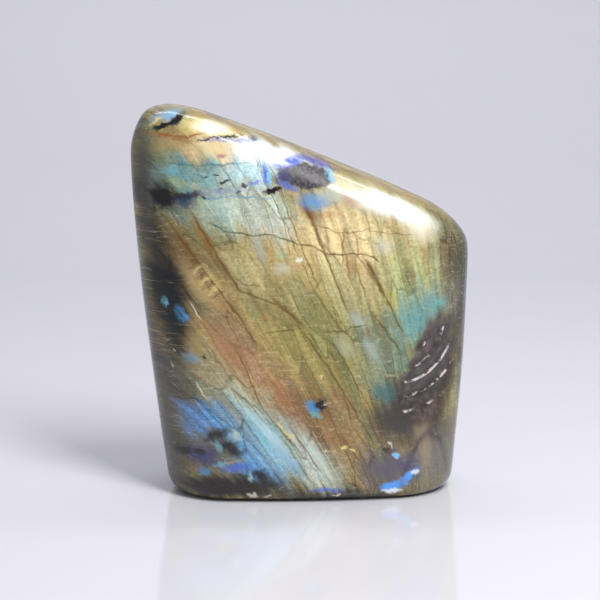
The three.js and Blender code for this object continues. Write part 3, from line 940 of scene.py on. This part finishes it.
    # the display face
    ground = addNode(tree, "ShaderNodeRGB")
    ground.outputs[0].default_value = toLinear(hues["olive"])
    colour = paintMarks(tree, zoneFace, ground.outputs[0], flashZones)
    colour = withLamellae(colour)
    colour = paintMarks(tree, bandFace, colour, flashBands)
    colour = paintMarks(tree, markFace, colour, fractureMarks())
    grit = addNode(
        tree, "ShaderNodeTexNoise", {"Scale": 1 / gravel["grit"], "Detail": 2.0}, {"Vector": inMm},
    )
    gritColour = addNode(
        tree, "ShaderNodeValToRGB", {"stops": ((0.36, "#2b2930"), (0.5, "#454146"), (0.66, "#5f5856"))},
        {0: grit.outputs[0]},
    )
    gravelSpot = addNode(
        tree, "ShaderNodeMapping",
        {"vector_type": "TEXTURE", "Location": (gravel["at"][0], 0, gravel["at"][1]),
         "Rotation": (0, math.radians(gravel["tilt"]), 0),
         "Scale": (gravel["half"][0], 1, gravel["half"][1])},
        {"Vector": raggedFace},
    )
    gravelReach = addNode(tree, "ShaderNodeVectorMath", {"operation": "LENGTH"}, {0: gravelSpot.outputs[0]})
    gravelMask = addNode(
        tree, "ShaderNodeMapRange", {"interpolation_type": "SMOOTHSTEP", "From Min": 1.1, "From Max": 0.8},
        {"Value": gravelReach.outputs["Value"]},
    )
    colour = addNode(
        tree, "ShaderNodeMix", {"data_type": "RGBA"},
        {0: gravelMask.outputs[0], 6: colour, 7: gritColour.outputs[0]},
    ).outputs[2]
    display = paintMarks(tree, raggedFace, colour, inclusions)

    # the body, which shows on the sides and the back, with weaker flash of its own
    bodyNoise = addNode(
        tree, "ShaderNodeTexNoise",
        {"Scale": 1 / labradorite["bodySize"], "Detail": 4.0, "Roughness": 0.55, "Distortion": 0.4},
        {"Vector": inMm},
    )
    bodyRamp = addNode(
        tree, "ShaderNodeValToRGB",
        {"stops": ((0.3, "#3d3937"), (0.42, "#5f5851"), (0.52, "#736e62"), (0.59, "#5d7f86"),
                   (0.66, "#6f7a5c"), (0.75, "#a08a58"))},
        {0: bodyNoise.outputs[0]},
    )
    body = withLamellae(bodyRamp.outputs[0])

    # the bevel along the top, banded along its length
    ridge = addNode(
        tree, "ShaderNodeMapping",
        {"vector_type": "TEXTURE", "Rotation": (0, math.radians(labradorite["ridgeTilt"]), 0),
         "Scale": labradorite["ridgeSize"]},
        {"Vector": inMm},
    )
    ridgeNoise = addNode(
        tree, "ShaderNodeTexNoise", {"Scale": 1.0, "Detail": 3.0, "Roughness": 0.6},
        {"Vector": ridge.outputs[0]},
    )
    ridgeRamp = addNode(
        tree, "ShaderNodeValToRGB",
        {"stops": ((0.3, "#5b5038"), (0.43, "#75663f"), (0.52, "#a08b5c"), (0.61, "#7d754e"),
                   (0.72, "#8d8a70"))},
        {0: ridgeNoise.outputs[0]},
    )

    frontShare = addNode(
        tree, "ShaderNodeMapRange",
        {"interpolation_type": "SMOOTHSTEP", "From Min": -0.2, "From Max": -0.62},
        {"Value": normal.outputs["Y"]},
    )
    topShare = addNode(
        tree, "ShaderNodeMapRange", {"interpolation_type": "SMOOTHSTEP", "From Min": 0.5, "From Max": 0.8},
        {"Value": normal.outputs["Z"]},
    )
    colour = addNode(
        tree, "ShaderNodeMix", {"data_type": "RGBA"},
        {0: topShare.outputs[0], 6: body, 7: ridgeRamp.outputs[0]},
    ).outputs[2]
    colour = addNode(
        tree, "ShaderNodeMix", {"data_type": "RGBA"}, {0: frontShare.outputs[0], 6: colour, 7: display},
    ).outputs[2]

    # the break: dark and purplish, with painted glints along the lips of its ledges
    scar = addNode(tree, "ShaderNodeAttribute", {"attribute_name": "scar"})
    hackle = addNode(
        tree, "ShaderNodeTexNoise",
        {"Scale": 1 / labradorite["hackleSize"], "Detail": 5.0, "Roughness": 0.65}, {"Vector": inMm},
    )
    scarRamp = addNode(
        tree, "ShaderNodeValToRGB", {"stops": ((0.32, "#352d2c"), (0.5, "#453c3a"), (0.72, "#6a5c53"))},
        {0: hackle.outputs[0]},
    )
    fromStrike = addNode(
        tree, "ShaderNodeVectorMath",
        {"operation": "SUBTRACT", 1: tuple(at / mm for at in stoneSkin["strike"])},
        {0: inMm},
    )
    outOfBreak = addNode(
        tree, "ShaderNodeVectorMath", {"operation": "PROJECT", 1: stoneSkin["breakNormal"]},
        {0: fromStrike.outputs[0]},
    )
    ring = addNode(
        tree, "ShaderNodeVectorMath", {"operation": "DISTANCE"},
        {0: fromStrike.outputs[0], 1: outOfBreak.outputs[0]},
    )
    onLedge = addNode(
        tree, "ShaderNodeMath", {"operation": "MODULO", 1: stoneSkin["ledgeSpacing"] / mm},
        {0: ring.outputs["Value"]},
    )
    glintStart, glintFull = labradorite["glintLip"]
    glintLip = addNode(
        tree, "ShaderNodeMapRange",
        {"interpolation_type": "SMOOTHSTEP", "From Min": glintStart, "From Max": glintFull},
        {"Value": onLedge.outputs[0]},
    )
    glintPatches = addNode(
        tree, "ShaderNodeTexNoise", {"Scale": 1 / labradorite["glintPatchSize"], "Detail": 3.0, "Roughness": 0.6},
        {"Vector": inMm},
    )
    glintHere = addNode(
        tree, "ShaderNodeMapRange",
        {"interpolation_type": "SMOOTHSTEP", "From Min": 0.47, "From Max": 0.58},
        {"Value": glintPatches.outputs[0]},
    )
    wellInside = addNode(
        tree, "ShaderNodeMapRange", {"From Min": 0.75, "From Max": 0.95}, {"Value": scar.outputs["Fac"]},
    )
    glintInside = addNode(
        tree, "ShaderNodeMath", {"operation": "MULTIPLY"}, {0: glintLip.outputs[0], 1: wellInside.outputs[0]},
    )
    # painted glints on the ledges' lips, broken into stretches
    lipGlint = addNode(
        tree, "ShaderNodeMath", {"operation": "MULTIPLY"}, {0: glintInside.outputs[0], 1: glintHere.outputs[0]},
    )
    scarWithGlints = addNode(
        tree, "ShaderNodeMix", {"data_type": "RGBA", 7: toLinear("#d5cbc6")},
        {0: lipGlint.outputs[0], 6: scarRamp.outputs[0]},
    )
    colour = addNode(
        tree, "ShaderNodeMix", {"data_type": "RGBA"},
        {0: scar.outputs["Fac"], 6: colour, 7: scarWithGlints.outputs[2]},
    ).outputs[2]
    tree.links.new(colour, shader.inputs["Base Color"])

    # polished everywhere but in the break and on the granular inclusion
    gravelDull = addNode(
        tree, "ShaderNodeMath", {"operation": "MULTIPLY", 1: 0.35}, {0: gravelMask.outputs[0]},
    )
    scarDull = addNode(
        tree, "ShaderNodeMath", {"operation": "MULTIPLY_ADD", 1: 0.2, 2: 0.13}, {0: scar.outputs["Fac"]},
    )
    dull = addNode(
        tree, "ShaderNodeMath", {"operation": "ADD"}, {0: gravelDull.outputs[0], 1: scarDull.outputs[0]},
    )
    tree.links.new(dull.outputs[0], shader.inputs["Roughness"])
    shader.inputs["IOR"].default_value = 1.56
    return material


stone = makeStone(polishedLabradorite())
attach(stone, "root")
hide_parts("stone")
print("stone made,", len(stone.data.polygons), "faces")
